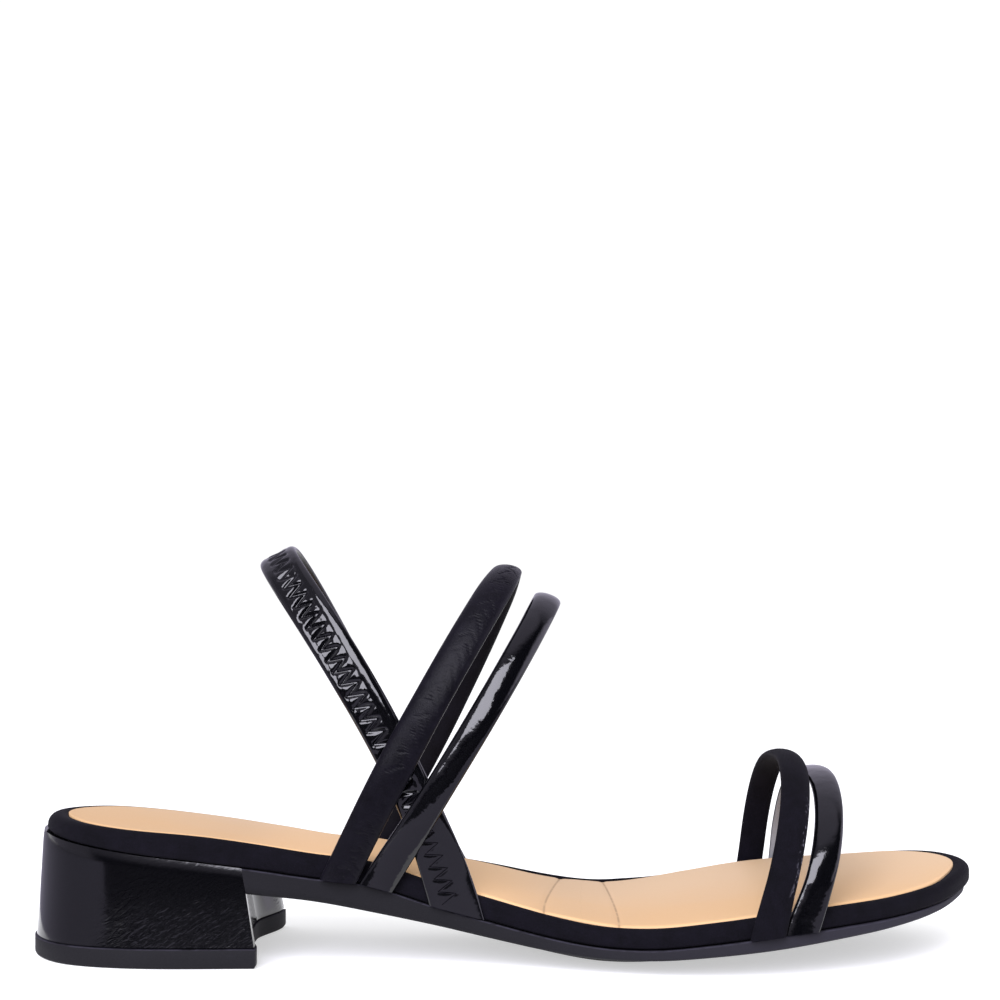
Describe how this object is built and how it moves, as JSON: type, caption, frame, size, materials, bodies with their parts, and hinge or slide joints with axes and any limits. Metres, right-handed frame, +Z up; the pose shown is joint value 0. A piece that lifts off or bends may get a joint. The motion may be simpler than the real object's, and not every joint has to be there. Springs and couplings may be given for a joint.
{
  "type": "block heel sandal",
  "caption": "Right open sandal with a low block heel, patent and suede straps over toes and instep, a quilted heel sling and a tan insole on a wrapped footbed.",
  "frame": {"origin": "middle of the heel lift's underside, on the floor", "axes": "+X to the toe, +Y to the inner side of the foot, -Y to its outer side, +Z up; the underside of the heel faces -Z"},
  "size_m": [0.2487, 0.0825, 0.106],
  "materials": {
    "sole_rubber": "matte dark grey rubber with a faint purple cast",
    "patent": "black patent leather, glossy, with soft creases",
    "suede": "black suede with a short matte nap",
    "insole_leather": "smooth tan lining leather, padded, half matte"
  },
  "bodies": {
    "root": {"heel_lift": "sole_rubber", "heel_block": "patent", "outsole": "sole_rubber", "footbed_rim": "suede", "insole": "insole_leather", "vamp_strap_rear": "suede", "vamp_strap_front": "patent", "ankle_straps": "patent"}
  },
  "joints": []
}
